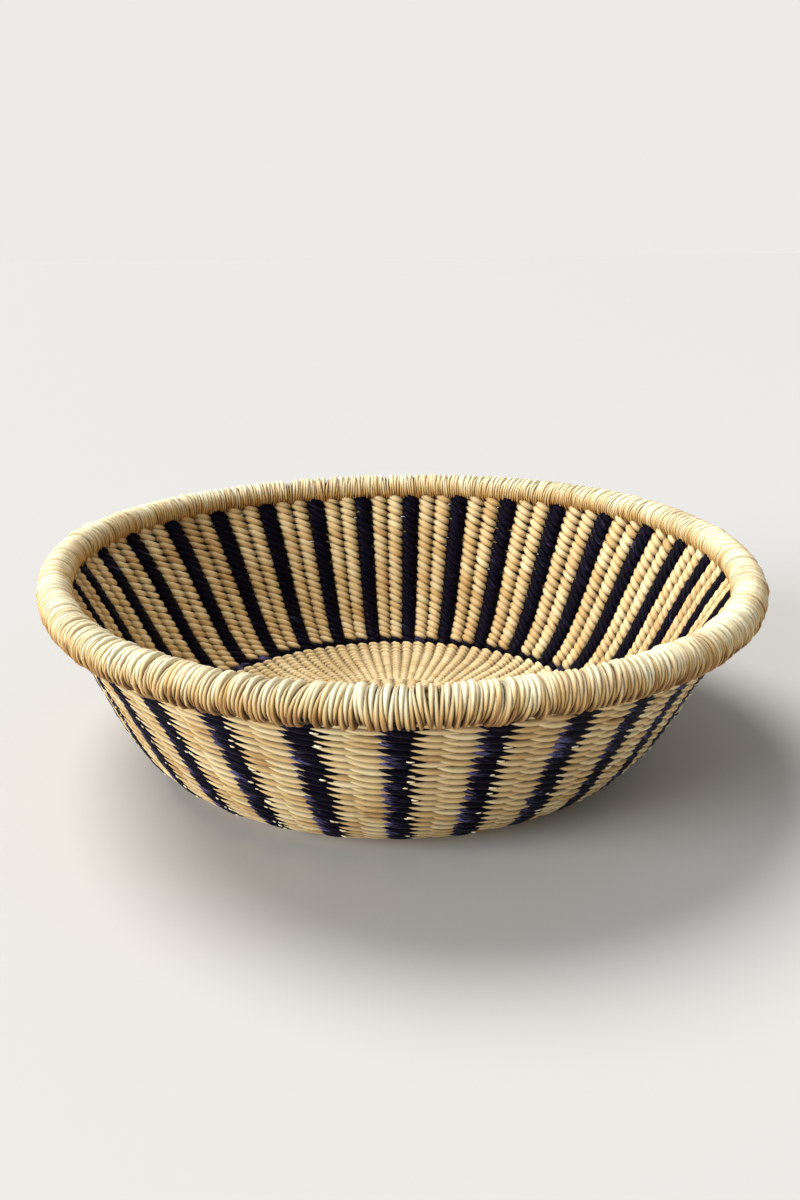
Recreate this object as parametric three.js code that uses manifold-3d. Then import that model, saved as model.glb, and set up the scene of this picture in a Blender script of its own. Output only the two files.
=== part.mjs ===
// Round woven grass tray: a shallow bowl of twined grass with dark stripes and a wrapped rim.
// Millimetres, +Z up. The origin is the middle of the flat underside.
//
// Grass stakes run out from a knot in the middle of the base, turn up at its edge and end in
// the rim. Strands are twined round them, two natural and one dyed, which gives the wall its
// stripes: a dark one, one stake wide, and a natural one, two stakes wide. A bundle of grass
// lies on the wall's top edge, and one long strand wraps the bundle and the edge together.
// The striped wall is drawn in quarters, each a simple shape round its share of the bowl.

import * as THREE from "three";
import { mergeVertices } from "three/addons/utils/BufferGeometryUtils.js";
import Module from "manifold-3d";

const wasm = await Module();
wasm.setup();

// Overall sizes.
const OVERALL_DIAMETER = 340;
const OVERALL_HEIGHT = 95.2;

// Weave.
const STRIPE_COUNT = 34;
const DARK_SHARE = 1 / 3;
const STRIPE_START_ANGLE = 6.04;
const WALL_THICKNESS = 6.2;
const COURSE_PITCH = 4.2;
const WALL_QUARTERS = 4;

// Wall curve, drawn on the outer face.
const FOOT_RADIUS = 85.5;
const FOOT_CURVE_LENGTH = 45;
const TOP_CURVE_LENGTH = 56;
const WALL_LEAN = 55.5;

// Base and the dark ring at the turn, measured along the outer face.
const BASE_RISE_LENGTH = 24;
const DARK_RING_COURSES = 1;

// Stakes.
const STAKE_WIDTH = 3;
const STAKE_DEPTH = 2.4;
const START_KNOT_RADIUS = 26;
const START_KNOT_DEPTH = 3;

// Rim.
const RIM_THICKNESS = 15;
const WRAP_STRAND = 2.1;
const WRAP_RIBS_PER_STRIPE = 3;
const WRAP_RIB_DEPTH = 0.8;
const WRAP_LEAN = 1.1;
const RIM_OUTSET = 0.4;
const RIM_TO_WALL_END = 2.5;

// Air left between touching pieces.
const CLEARANCE = 0.3;

// Fineness of the curved faces.
const BASE_RISE_STEPS = 2;
const WALL_STEPS = 3;
const NATURAL_STEPS = 2;
const KNOT_SEGMENTS = 24;
const BASE_SEGMENTS = 68;
const WRAP_OUTER_POINTS = 7;
const WRAP_INNER_POINTS = 6;
const CORE_POINTS = 6;
const CORE_SEGMENTS_PER_STRIPE = 2;
const SAME_CORNER = 1e-4;

// Worked-out sizes.
const stripeAngle = (2 * Math.PI) / STRIPE_COUNT;
const darkAngle = stripeAngle * DARK_SHARE;
const startAngle = THREE.MathUtils.degToRad(STRIPE_START_ANGLE);
const halfGap = CLEARANCE / 2;
const rimTubeRadius = RIM_THICKNESS / 2;
const rimRadius = OVERALL_DIAMETER / 2 - rimTubeRadius;
const rimHeight = OVERALL_HEIGHT - rimTubeRadius;
const wrapBoreRadius = rimTubeRadius - WRAP_STRAND;
const darkRingLength = DARK_RING_COURSES * COURSE_PITCH;

// Directions in the wall's own section: up along the wall, and square to it, outwards.
const lean = THREE.MathUtils.degToRad(WALL_LEAN);
const upWall = new THREE.Vector2(Math.cos(lean), Math.sin(lean));
const outOfWall = new THREE.Vector2(upWall.y, -upWall.x);

// The wall's outer face: the flat foot, then a curve that ends inside the rim.
const outerFaceOffset = WALL_THICKNESS / 2 - RIM_OUTSET;
const innerFaceOffset = WALL_THICKNESS / 2 + RIM_OUTSET;
const rimCentre = new THREE.Vector2(rimRadius, rimHeight);
const wallEnd = rimCentre
  .clone()
  .addScaledVector(upWall, -RIM_TO_WALL_END)
  .addScaledVector(outOfWall, outerFaceOffset);
const foot = new THREE.Vector2(FOOT_RADIUS, 0);
const outerFace = new THREE.CurvePath();
outerFace.add(new THREE.LineCurve(new THREE.Vector2(0, 0), foot));
outerFace.add(
  new THREE.CubicBezierCurve(
    foot,
    new THREE.Vector2(FOOT_RADIUS + FOOT_CURVE_LENGTH, 0),
    wallEnd.clone().addScaledVector(upWall, -TOP_CURVE_LENGTH),
    wallEnd,
  ),
);
const faceLength = outerFace.getLength();

// Stations along the outer face, from the middle of the base to the wall's top edge.
const baseEdge = FOOT_RADIUS + BASE_RISE_LENGTH;
const ringTop = baseEdge + darkRingLength;
const topCourse = faceLength - COURSE_PITCH;

// Evenly spaced numbers from first to last, both included.
function spread(first, last, steps) {
  return Array.from({ length: steps + 1 }, (_, i) => first + ((last - first) * i) / steps);
}

const riseStations = spread(FOOT_RADIUS, baseEdge, BASE_RISE_STEPS);
const wallStations = spread(ringTop, topCourse, WALL_STEPS);

// Radius and height at a station, at a depth below the outer face.
function sectionPoint(station, depth) {
  const t = THREE.MathUtils.clamp(station / faceLength, 0, 1);
  const onFace = outerFace.getPoint(t);
  const along = outerFace.getTangent(t);
  return new THREE.Vector2(onFace.x - along.y * depth, onFace.y + along.x * depth);
}

function turned(point, angle) {
  return new THREE.Vector3(point.x * Math.cos(angle), point.x * Math.sin(angle), point.y);
}

function wallPoint(station, depth, angle) {
  return turned(sectionPoint(station, depth), angle);
}

// Collects triangles and quads, and gives them back as a geometry that faces outwards.
class FaceList {
  constructor() {
    this.positions = [];
  }

  triangle(a, b, c) {
    for (const corner of [a, b, c]) this.positions.push(corner.x, corner.y, corner.z);
  }

  quad(a, b, c, d) {
    this.triangle(a, b, c);
    this.triangle(a, c, d);
  }

  geometry() {
    const made = new THREE.BufferGeometry();
    made.setAttribute("position", new THREE.Float32BufferAttribute(this.positions, 3));
    return made;
  }
}

// Joins a row of equal loops of points into one closed body. An open row is capped.
function loft(loops, closedRow) {
  const faces = new FaceList();
  const sides = loops[0].length;
  const spans = closedRow ? loops.length : loops.length - 1;
  for (let i = 0; i < spans; i++) {
    const here = loops[i];
    const next = loops[(i + 1) % loops.length];
    for (let k = 0; k < sides; k++) {
      const m = (k + 1) % sides;
      faces.quad(here[k], next[k], next[m], here[m]);
    }
  }
  if (!closedRow) {
    const first = loops[0];
    const last = loops[loops.length - 1];
    for (let k = 1; k < sides - 1; k++) {
      faces.triangle(first[0], first[k], first[k + 1]);
      faces.triangle(last[0], last[k + 1], last[k]);
    }
  }
  return faces.geometry();
}

// A geometry as a solid, with its shared corners merged and its empty triangles left out.
function solid(geometry) {
  const bare = geometry.clone();
  bare.deleteAttribute("normal");
  bare.deleteAttribute("uv");
  const merged = mergeVertices(bare, SAME_CORNER);
  const corners = merged.index.array;
  const triVerts = [];
  for (let i = 0; i < corners.length; i += 3) {
    const [a, b, c] = [corners[i], corners[i + 1], corners[i + 2]];
    if (a !== b && b !== c && c !== a) triVerts.push(a, b, c);
  }
  return new wasm.Manifold(
    new wasm.Mesh({
      numProp: 3,
      vertProperties: merged.attributes.position.array,
      triVerts: new Uint32Array(triVerts),
    }),
  );
}

function geometryOf(body) {
  const mesh = body.getMesh();
  const made = new THREE.BufferGeometry();
  made.setAttribute("position", new THREE.BufferAttribute(mesh.vertProperties, 3));
  made.setIndex(new THREE.BufferAttribute(mesh.triVerts, 1));
  return made;
}

function joined(bodies) {
  return bodies.reduce((sum, body) => sum.add(body));
}

// A stake runs in the middle of the wall's thickness, from the start knot to the top course.
// With a clearance it is the channel that the stake lies in.
function stake(stripe, clearance) {
  const middle = WALL_THICKNESS / 2;
  const halfWidth = STAKE_WIDTH / 2 + clearance;
  const halfDepth = STAKE_DEPTH / 2 + clearance;
  const angle = startAngle + stripe * stripeAngle;
  const innerEnd = START_KNOT_RADIUS + CLEARANCE - clearance;
  const topEnd = topCourse - halfGap + clearance / 2;
  const route = [innerEnd, ...riseStations, ...wallStations.slice(0, -1), topEnd];
  const loops = route.map((station) => {
    const halfAngle = halfWidth / sectionPoint(station, middle).x;
    return [
      wallPoint(station, middle - halfDepth, angle + halfAngle),
      wallPoint(station, middle - halfDepth, angle - halfAngle),
      wallPoint(station, middle + halfDepth, angle - halfAngle),
      wallPoint(station, middle + halfDepth, angle + halfAngle),
    ];
  });
  return solid(loft(loops, false));
}

// The knot of crossed grass that the weave starts from, in the middle of the base.
function startKnot(clearance) {
  const radius = START_KNOT_RADIUS + clearance;
  const depth = START_KNOT_DEPTH + 2 * clearance;
  const disc = new THREE.CylinderGeometry(radius, radius, depth, KNOT_SEGMENTS);
  disc.rotateX(Math.PI / 2);
  disc.translate(0, 0, WALL_THICKNESS / 2);
  return solid(disc);
}

const stripes = Array.from({ length: STRIPE_COUNT }, (_, i) => i);
const channels = joined([
  startKnot(CLEARANCE),
  ...stripes.map((stripe) => stake(stripe, CLEARANCE)),
]);

// Base: a flat disc of natural weave that turns up at its edge.
function baseDisc() {
  const stations = [...riseStations.slice(0, -1), baseEdge - halfGap];
  const outer = stations.map((station) => sectionPoint(station, 0));
  const inner = stations.map((station) => sectionPoint(station, WALL_THICKNESS)).reverse();
  const profile = [
    new THREE.Vector2(0, 0),
    ...outer,
    ...inner,
    new THREE.Vector2(0, WALL_THICKNESS),
  ];
  const disc = new THREE.LatheGeometry(profile, BASE_SEGMENTS);
  disc.rotateX(Math.PI / 2);
  return solid(disc);
}

// The wall is a grid of rows between stations and columns between angles. Each stripe has a
// dark column and a natural one, with a thin gap between them. A body fills its own cells.
// A quarter of the wall begins at a joint, a gap that the ring and the top course leave too.
const GAP = "gap";
const JOINT = "joint";
const DARK = "dark";
const NATURAL = "natural";

const quarterOf = (stripe) => Math.floor((stripe * WALL_QUARTERS) / STRIPE_COUNT);

const columns = stripes.flatMap((stripe) => {
  const first = startAngle + stripe * stripeAngle - darkAngle / 2;
  const gap = halfGap / rimRadius;
  const natural = spread(first + darkAngle + gap, first + stripeAngle - gap, NATURAL_STEPS);
  const quarter = quarterOf(stripe);
  const startsQuarter = stripe === 0 || quarterOf(stripe - 1) !== quarter;
  return [
    { kind: startsQuarter ? JOINT : GAP, angle: first - gap, quarter },
    { kind: DARK, angle: first + gap, quarter },
    { kind: GAP, angle: first + darkAngle - gap, quarter },
    ...natural.slice(0, -1).map((angle) => ({ kind: NATURAL, angle, quarter })),
  ];
});

const ringStations = [baseEdge + halfGap, ringTop - halfGap];
const columnStations = [ringTop + halfGap, ...wallStations.slice(1, -1), topCourse - halfGap];
const courseStations = [topCourse + halfGap, faceLength];
const rowStations = [...ringStations, ...columnStations, ...courseStations];

// The parts of the wall that a row belongs to: the dark ring, the striped wall with the
// joints at its ends, or the natural course at the top.
const rowKinds = rowStations.slice(0, -1).map((station, row) => {
  if (row < ringStations.length - 1) return "ring";
  if (row === ringStations.length - 1) return "above ring";
  if (station >= courseStations[0]) return "top course";
  if (station >= topCourse - CLEARANCE) return "below top course";
  return "wall";
});

const darkFills = (rowKind, columnKind) =>
  (rowKind === "ring" && columnKind !== JOINT) ||
  (columnKind === DARK && ["above ring", "wall"].includes(rowKind));
const naturalFills = (rowKind, columnKind) =>
  (rowKind === "top course" && columnKind !== JOINT) ||
  (columnKind === NATURAL && ["wall", "below top course"].includes(rowKind));

function gridBody(fills, quarter) {
  const faces = new FaceList();
  const count = columns.length;
  const filled = (row, at) => {
    const column = columns[(at + count) % count];
    return column.quarter === quarter && fills(rowKinds[row], column.kind);
  };
  const corner = (row, column, depth) =>
    wallPoint(rowStations[row], depth, columns[column % count].angle);
  for (let row = 0; row < rowKinds.length; row++) {
    for (let column = 0; column < count; column++) {
      if (!filled(row, column)) continue;
      const [a, b, c, d] = [
        corner(row, column, 0),
        corner(row, column + 1, 0),
        corner(row + 1, column + 1, 0),
        corner(row + 1, column, 0),
      ];
      const [e, f, g, h] = [
        corner(row, column, WALL_THICKNESS),
        corner(row, column + 1, WALL_THICKNESS),
        corner(row + 1, column + 1, WALL_THICKNESS),
        corner(row + 1, column, WALL_THICKNESS),
      ];
      faces.quad(a, b, c, d);
      faces.quad(e, h, g, f);
      if (!filled(row - 1, column)) faces.quad(a, e, f, b);
      if (!filled(row + 1, column)) faces.quad(d, c, g, h);
      if (!filled(row, column - 1)) faces.quad(a, d, h, e);
      if (!filled(row, column + 1)) faces.quad(b, f, g, c);
    }
  }
  return solid(faces.geometry());
}

// Rim. Its section is drawn round the rim's centre, with 0 degrees square out of the wall
// and 90 degrees up along it. A side is how far a point lies out of the wall from the centre.
function rimPoint(radius, sectionAngle, angle) {
  const point = rimCentre
    .clone()
    .addScaledVector(outOfWall, radius * Math.cos(sectionAngle))
    .addScaledVector(upWall, radius * Math.sin(sectionAngle));
  return turned(point, angle);
}

// Section angle where a circle of this radius meets the wall's outer or inner face below it.
const outerLip = (radius) => -Math.acos((outerFaceOffset + CLEARANCE) / radius);
const innerLip = (radius) => Math.PI + Math.acos((innerFaceOffset + CLEARANCE) / radius);

// The wrapping strand: an open ring that clips over the wall's edge, with a rib for a few
// turns. The ribs lean, as the turns of one long strand do.
function rimWrap() {
  const ribCount = WRAP_RIBS_PER_STRIPE * STRIPE_COUNT;
  const leanAngle = WRAP_LEAN / rimRadius;
  const loops = Array.from({ length: 2 * ribCount }, (_, i) => {
    const angle = (i * Math.PI) / ribCount;
    const outerRadius = i % 2 ? rimTubeRadius - WRAP_RIB_DEPTH : rimTubeRadius;
    const outer = spread(outerLip(outerRadius), innerLip(outerRadius), WRAP_OUTER_POINTS - 1);
    const inner = spread(innerLip(wrapBoreRadius), outerLip(wrapBoreRadius), WRAP_INNER_POINTS - 1);
    return [
      ...outer.map((at) => rimPoint(outerRadius, at, angle - leanAngle * Math.sin(at))),
      ...inner.map((at) => rimPoint(wrapBoreRadius, at, angle - leanAngle * Math.sin(at))),
    ];
  });
  return solid(loft(loops, true));
}

// The bundle of grass inside the wrap, flattened where it lies on the wall's top edge. Its
// corners keep the clearance from the flats between the corners of the wrap's bore.
function rimCore() {
  const boreStep = (innerLip(wrapBoreRadius) - outerLip(wrapBoreRadius)) / (WRAP_INNER_POINTS - 1);
  const radius = wrapBoreRadius * Math.cos(boreStep / 2) - CLEARANCE;
  const flat = Math.asin((CLEARANCE - RIM_TO_WALL_END) / radius);
  const section = spread(flat, Math.PI - flat, CORE_POINTS - 1);
  const segments = STRIPE_COUNT * CORE_SEGMENTS_PER_STRIPE;
  const loops = Array.from({ length: segments }, (_, i) =>
    section.map((at) => rimPoint(radius, at, (i * 2 * Math.PI) / segments)),
  );
  return solid(loft(loops, true));
}

// Materials.
const naturalGrass = new THREE.MeshStandardMaterial({ color: 0xd2ae6e, roughness: 0.7, metalness: 0 });
const baseGrass = new THREE.MeshStandardMaterial({ color: 0xd8b87c, roughness: 0.75, metalness: 0 });
const wrapGrass = new THREE.MeshStandardMaterial({ color: 0xdfc48c, roughness: 0.6, metalness: 0 });
const dyedGrass = new THREE.MeshStandardMaterial({ color: 0x241d38, roughness: 0.5, metalness: 0 });
const stakeGrass = new THREE.MeshStandardMaterial({ color: 0xb9955a, roughness: 0.8, metalness: 0 });

// Assembly.
const tray = new THREE.Group();
function place(name, body, material) {
  const mesh = new THREE.Mesh(geometryOf(body), material);
  mesh.name = name;
  tray.add(mesh);
}

place("base_weave", baseDisc().subtract(channels), baseGrass);
place("start_knot", startKnot(0), stakeGrass);
for (const stripe of stripes) {
  const number = String(stripe + 1).padStart(2, "0");
  place(`stake_${number}`, stake(stripe, 0), stakeGrass);
}
for (let quarter = 0; quarter < WALL_QUARTERS; quarter++) {
  const number = quarter + 1;
  place(`dark_weave_${number}`, gridBody(darkFills, quarter).subtract(channels), dyedGrass);
  place(`natural_weave_${number}`, gridBody(naturalFills, quarter).subtract(channels), naturalGrass);
}
place("rim_core", rimCore(), stakeGrass);
place("rim_wrap", rimWrap(), wrapGrass);

export default tray;
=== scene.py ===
"""Woven grass tray: the strands, stakes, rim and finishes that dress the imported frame.

The wall is three strands twined round grass stakes, two natural and one dyed. Each strand
passes over two stakes outside and behind one, so the dyed one makes the dark stripes. One
long strand wraps the rim. All lengths are metres, +Z is up, and the tray stands on z = 0.
"""

import logging
import math
from collections.abc import Iterable, Sequence
from dataclasses import dataclass
from enum import Enum, IntEnum

import bmesh
import bpy
import numpy as np
from mathutils import Matrix, Vector


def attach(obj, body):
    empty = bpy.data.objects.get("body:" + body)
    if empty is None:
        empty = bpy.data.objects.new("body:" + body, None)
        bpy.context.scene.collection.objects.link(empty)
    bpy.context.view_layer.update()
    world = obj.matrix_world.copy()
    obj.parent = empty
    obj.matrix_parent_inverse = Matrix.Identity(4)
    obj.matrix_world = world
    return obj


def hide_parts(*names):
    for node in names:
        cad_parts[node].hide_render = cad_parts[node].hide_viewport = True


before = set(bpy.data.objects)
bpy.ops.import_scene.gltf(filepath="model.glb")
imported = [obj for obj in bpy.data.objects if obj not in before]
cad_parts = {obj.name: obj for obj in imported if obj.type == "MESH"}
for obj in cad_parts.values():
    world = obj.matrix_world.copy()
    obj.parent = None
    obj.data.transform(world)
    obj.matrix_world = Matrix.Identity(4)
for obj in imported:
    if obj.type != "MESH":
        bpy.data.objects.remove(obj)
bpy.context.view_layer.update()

LOG = logging.getLogger("woven_tray")
BODY = "root"
MM = 0.001
TWINED = 3  # strands that are twined together
QUARTERS = range(1, 5)  # numbers of the wall's quarters

Span = tuple[float, float]
Triple = tuple[float, float, float]
Socket = bpy.types.NodeSocket


class Slot(Enum):
    """Material slots of the record."""

    NATURAL = "natural_grass"
    DYED = "dyed_grass"
    WRAP = "wrap_grass"
    STAKE = "stake_grass"


Materials = dict[Slot, bpy.types.Material]


class Seed(IntEnum):
    """Seeds of what is uneven by hand. The strands of a group take the numbers that follow."""

    WRAP = 3
    STAKES = 5
    BUNDLE = 8
    DYED = 11
    CURLS = 14
    NATURAL = 20
    CUT_ENDS = 31
    RING = 40
    BASE = 60


class Sides(Enum):
    """How many sides a swept strand has."""

    SIX = 6
    EIGHT = 8

    def turns(self) -> np.ndarray:
        """Angles of the section's corners from square outwards. Two point along the wall."""
        first = 0.5 if self is Sides.SIX else 0.0
        return (np.arange(self.value) + first) * 2 * math.pi / self.value

    def resolution(self) -> int:
        """Resolution of a round bevel with this many sides."""
        return (self.value - 4) // 2


@dataclass(frozen=True)
class NodeBench:
    """Adds nodes to a material.

    Attributes:
        tree: The material's nodes.
    """

    tree: bpy.types.NodeTree

    def link(self, value: Socket, place: Socket) -> None:
        """Leads a value to an input."""
        self.tree.links.new(value, place)

    def attribute(self, name: str, output: str) -> Socket:
        """Reads an attribute of the mesh.

        Args:
            name: Name of the attribute.
            output: Name of the node's output.

        Returns:
            That output.
        """
        node = self.tree.nodes.new("ShaderNodeAttribute")
        node.attribute_name = name
        return node.outputs[output]

    def noise(self, vector: Socket, scale: float, detail: float) -> Socket:
        """Makes plain noise.

        Args:
            vector: Place in the pattern.
            scale: Its scale.
            detail: Its detail.

        Returns:
            A value from 0 to 1.
        """
        node = self.tree.nodes.new("ShaderNodeTexNoise")
        node.inputs["Scale"].default_value = scale
        node.inputs["Detail"].default_value = detail
        self.link(vector, node.inputs["Vector"])
        return node.outputs["Fac"]

    def fibres(self, vector: Socket, scale: Triple, detail: float) -> Socket:
        """Makes noise that is drawn out along the strand.

        Args:
            vector: Place on the strand.
            scale: Scale along and across the strand.
            detail: Detail of the noise.

        Returns:
            A value from 0 to 1.
        """
        node = self.tree.nodes.new("ShaderNodeMapping")
        node.inputs["Scale"].default_value = scale
        self.link(vector, node.inputs["Vector"])
        return self.noise(node.outputs["Vector"], 1.0, detail)

    def total(self, parts: Iterable[tuple[Socket, float]], offset: float) -> Socket:
        """Adds up values.

        Args:
            parts: Each value and its weight.
            offset: What is added to them.

        Returns:
            The offset plus each value times its weight.
        """
        total = None
        for value, weight in parts:
            node = self.tree.nodes.new("ShaderNodeMath")
            node.operation = "MULTIPLY_ADD"
            self.link(value, node.inputs[0])
            node.inputs[1].default_value = weight
            if total is None:
                node.inputs[2].default_value = offset
            else:
                self.link(total, node.inputs[2])
            total = node.outputs[0]
        return total

    def ranged(self, value: Socket, start: Span, end: Span) -> Socket:
        """Moves a value from one range to another.

        Args:
            value: The value.
            start: Low and high end of its range.
            end: What it is at them.

        Returns:
            The new value, held inside its range.
        """
        node = self.tree.nodes.new("ShaderNodeMapRange")
        node.inputs["From Min"].default_value, node.inputs["From Max"].default_value = start
        node.inputs["To Min"].default_value, node.inputs["To Max"].default_value = end
        self.link(value, node.inputs["Value"])
        return node.outputs["Result"]

    def ramp(self, value: Socket, stops: Iterable[tuple[float, Triple]]) -> Socket:
        """Makes a colour that runs through three stops as the value rises.

        Args:
            value: The value.
            stops: Place and colour of each stop.

        Returns:
            The colour.
        """
        node = self.tree.nodes.new("ShaderNodeValToRGB")
        elements = node.color_ramp.elements
        elements.new(0.5)
        for element, (at, colour) in zip(elements, stops):
            element.position = at
            element.color = (*colour, 1.0)
        self.link(value, node.inputs["Fac"])
        return node.outputs["Color"]

    def turned_to(self, share: Socket, first: Socket, colour: Sequence[float]) -> Socket:
        """Turns a colour into a plain one.

        Args:
            share: How much of it is turned.
            first: The colour that is turned.
            colour: The plain one.

        Returns:
            The mixed colour.
        """
        node = self.tree.nodes.new("ShaderNodeMix")
        node.data_type = "RGBA"
        self.link(share, node.inputs["Factor"])
        self.link(first, node.inputs["A"])
        node.inputs["B"].default_value = (*colour, 1.0)
        return node.outputs["Result"]


@dataclass(frozen=True)
class Grain:
    """The pattern that the grass finishes share.

    Attributes:
        streaks: Scale of the broad fibres along and across the strand, for each metre.
        threads: Scale of the fine fibres.
        specks: Scale of the dark specks.
        patches: Scale of the aged patches.
        coarse: Detail of streaks and patches.
        fine: Detail of threads and specks.
        weights: How much streaks, threads and tone tell in the colour.
        offset: What is added to them.
        aged: Noise at which a patch begins, and at which it is full.
        speckled: Noise at which a speck begins, and at which it is full.
        speck_share: How much of the deep colour a full speck takes.
        open_depth: Depth from which a strand takes no painted shade and keeps its own colour.
        crevice_shade: Colour of the painted shade in the darkest gaps, as a share of the deep
            colour.
        rough: Noise at the lowest and the highest roughness.
        sheen_roughness: Roughness of the soft sheen.
        bump: Strength of the bump.
        thread_relief: Height of the fine fibres against the broad ones.
    """

    streaks: Triple = (90, 2600, 2600)
    threads: Triple = (240, 7000, 7000)
    specks: Triple = (700, 1900, 1900)
    patches: float = 34.0
    coarse: float = 3.0
    fine: float = 2.0
    weights: Triple = (0.85, 0.35, 0.75)
    offset: float = -0.48
    aged: Span = (0.42, 0.72)
    speckled: Span = (0.66, 0.78)
    speck_share: float = 0.4
    open_depth: float = 0.85
    crevice_shade: float = 0.2
    rough: Span = (0.3, 0.7)
    sheen_roughness: float = 0.4
    bump: float = 0.8
    thread_relief: float = 0.6


@dataclass(frozen=True)
class GrassFinish:
    """Dry grass: fibres along the strand, tone that changes from strand to strand.

    Attributes:
        slot: The record's slot that the finish belongs to.
        pale: Colour of the lightest fibres.
        middle: Colour of most fibres.
        deep: Colour of the darkest fibres.
        shade: Colour that the grass tends to in patches.
        shade_share: How much of that colour the strongest patch takes.
        stops: Where the deep, middle and pale colours lie in the grain, 0 to 1.
        hollow_shade: How much painted shade a strand takes where it dives between the others, 0
            to 1.
        roughness: Lowest and highest roughness.
        specular: Strength of the plain reflection.
        sheen: Strength of the soft sheen.
        gloss_tint: Colour of the reflection and the sheen.
        relief: Height of the fibres in the bump, in metres.
        grain: The pattern of the fibres.
    """

    slot: Slot
    pale: Triple
    middle: Triple
    deep: Triple
    shade: Triple
    shade_share: float = 0.5
    stops: Triple = (0.08, 0.42, 0.85)
    hollow_shade: float = 0.55
    roughness: Span = (0.5, 0.72)
    specular: float = 0.3
    sheen: float = 0.02
    gloss_tint: Triple = (1.0, 0.95, 0.85)
    relief: float = 0.12 * MM
    grain: Grain = Grain()

    def material(self) -> bpy.types.Material:
        """Makes the material of this finish.

        Returns:
            A node material that reads the fibre, tone and depth attributes of a strand.
        """
        made = bpy.data.materials.new(self.slot.value)
        made.use_nodes = True
        tree = made.node_tree
        shader = tree.nodes["Principled BSDF"]
        bench, grain = NodeBench(tree), self.grain

        fibre = bench.attribute("fibre", "Vector")
        streaks = bench.fibres(fibre, grain.streaks, grain.coarse)
        threads = bench.fibres(fibre, grain.threads, grain.fine)
        specks = bench.fibres(fibre, grain.specks, grain.fine)
        place = tree.nodes.new("ShaderNodeTexCoord").outputs["Object"]
        patches = bench.noise(place, grain.patches, grain.coarse)

        tone = bench.attribute("tone", "Fac")
        shown = bench.total(zip((streaks, threads, tone), grain.weights), grain.offset)
        colour = bench.ramp(shown, zip(self.stops, (self.deep, self.middle, self.pale)))
        aged_share = bench.ranged(patches, grain.aged, (0.0, self.shade_share))
        colour = bench.turned_to(aged_share, colour, self.shade)
        speck_share = bench.ranged(specks, grain.speckled, (0.0, grain.speck_share))
        colour = bench.turned_to(speck_share, colour, self.deep)
        # Painted shade: the colour darkens towards a share of the deep colour where a strand lies
        # deep in the weave or meets its neighbours.
        depth = bench.attribute("depth", "Fac")
        painted_shade_share = bench.ranged(depth, (0.0, grain.open_depth), (self.hollow_shade, 0.0))
        crevice_shade = [grain.crevice_shade * part for part in self.deep]
        bench.link(bench.turned_to(painted_shade_share, colour, crevice_shade), shader.inputs["Base Color"])

        rough = bench.ranged(streaks, grain.rough, self.roughness)
        bench.link(rough, shader.inputs["Roughness"])
        shader.inputs["Specular IOR Level"].default_value = self.specular
        shader.inputs["Specular Tint"].default_value = (*self.gloss_tint, 1.0)
        shader.inputs["Sheen Weight"].default_value = self.sheen
        shader.inputs["Sheen Roughness"].default_value = grain.sheen_roughness
        shader.inputs["Sheen Tint"].default_value = (*self.gloss_tint, 1.0)

        bump = tree.nodes.new("ShaderNodeBump")
        bump.inputs["Strength"].default_value = grain.bump
        bump.inputs["Distance"].default_value = self.relief
        height = bench.total(((streaks, 1.0), (threads, grain.thread_relief)), 0.0)
        bench.link(height, bump.inputs["Height"])
        bench.link(bump.outputs["Normal"], shader.inputs["Normal"])
        return made


NATURAL = GrassFinish(
    Slot.NATURAL,
    pale=(0.97, 0.80, 0.47),
    middle=(0.80, 0.54, 0.23),
    deep=(0.30, 0.135, 0.038),
    shade=(0.52, 0.29, 0.09),
    hollow_shade=0.95,
)
WRAP = GrassFinish(
    Slot.WRAP,
    pale=(1.0, 0.92, 0.65),
    middle=(0.82, 0.565, 0.235),
    deep=(0.32, 0.13, 0.03),
    shade=(0.60, 0.34, 0.105),
    hollow_shade=0.95,
    roughness=(0.42, 0.66),
    relief=0.2 * MM,
)
DYED = GrassFinish(
    Slot.DYED,
    # The pale lavender is painted sheen: the light's reflection on near black grass, reached by
    # streaks and by the float starts that lit_start lightens.
    pale=(0.31, 0.275, 0.58),
    middle=(0.0032, 0.0024, 0.0070),
    deep=(0.001, 0.0008, 0.0016),
    shade=(0.005, 0.0025, 0.007),
    stops=(0.15, 0.64, 1.0),
    hollow_shade=0.85,
    roughness=(0.38, 0.62),
    specular=0.06,
    gloss_tint=(0.66, 0.6, 1.0),
)
STAKE = GrassFinish(
    Slot.STAKE,
    pale=(0.60, 0.44, 0.24),
    middle=(0.42, 0.28, 0.13),
    deep=(0.20, 0.11, 0.04),
    shade=(0.34, 0.21, 0.09),
    roughness=(0.6, 0.8),
)


def drift(rng: np.random.Generator, at: np.ndarray, spread: float) -> np.ndarray:
    """Random numbers that change smoothly from one whole number to the next.

    Args:
        rng: The seeded source.
        at: Where the numbers are wanted.
        spread: Their standard deviation at the whole numbers.

    Returns:
        One number for each place.
    """
    first = math.floor(at.min())
    knots = rng.normal(0.0, spread, math.ceil(at.max()) - first + 2)
    whole = np.floor(at).astype(int)
    share = 0.5 - 0.5 * np.cos(math.pi * (at - whole))
    before = knots[whole - first]
    return before + (knots[whole - first + 1] - before) * share


def drawn_tone(rng: np.random.Generator, average: float, spread: float) -> float:
    """Draws how light a stem is.

    Args:
        rng: The seeded source.
        average: How light stems are on average.
        spread: Their standard deviation.

    Returns:
        A lightness from 0 to 1.
    """
    return float(np.clip(rng.normal(average, spread), 0, 1))


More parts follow.
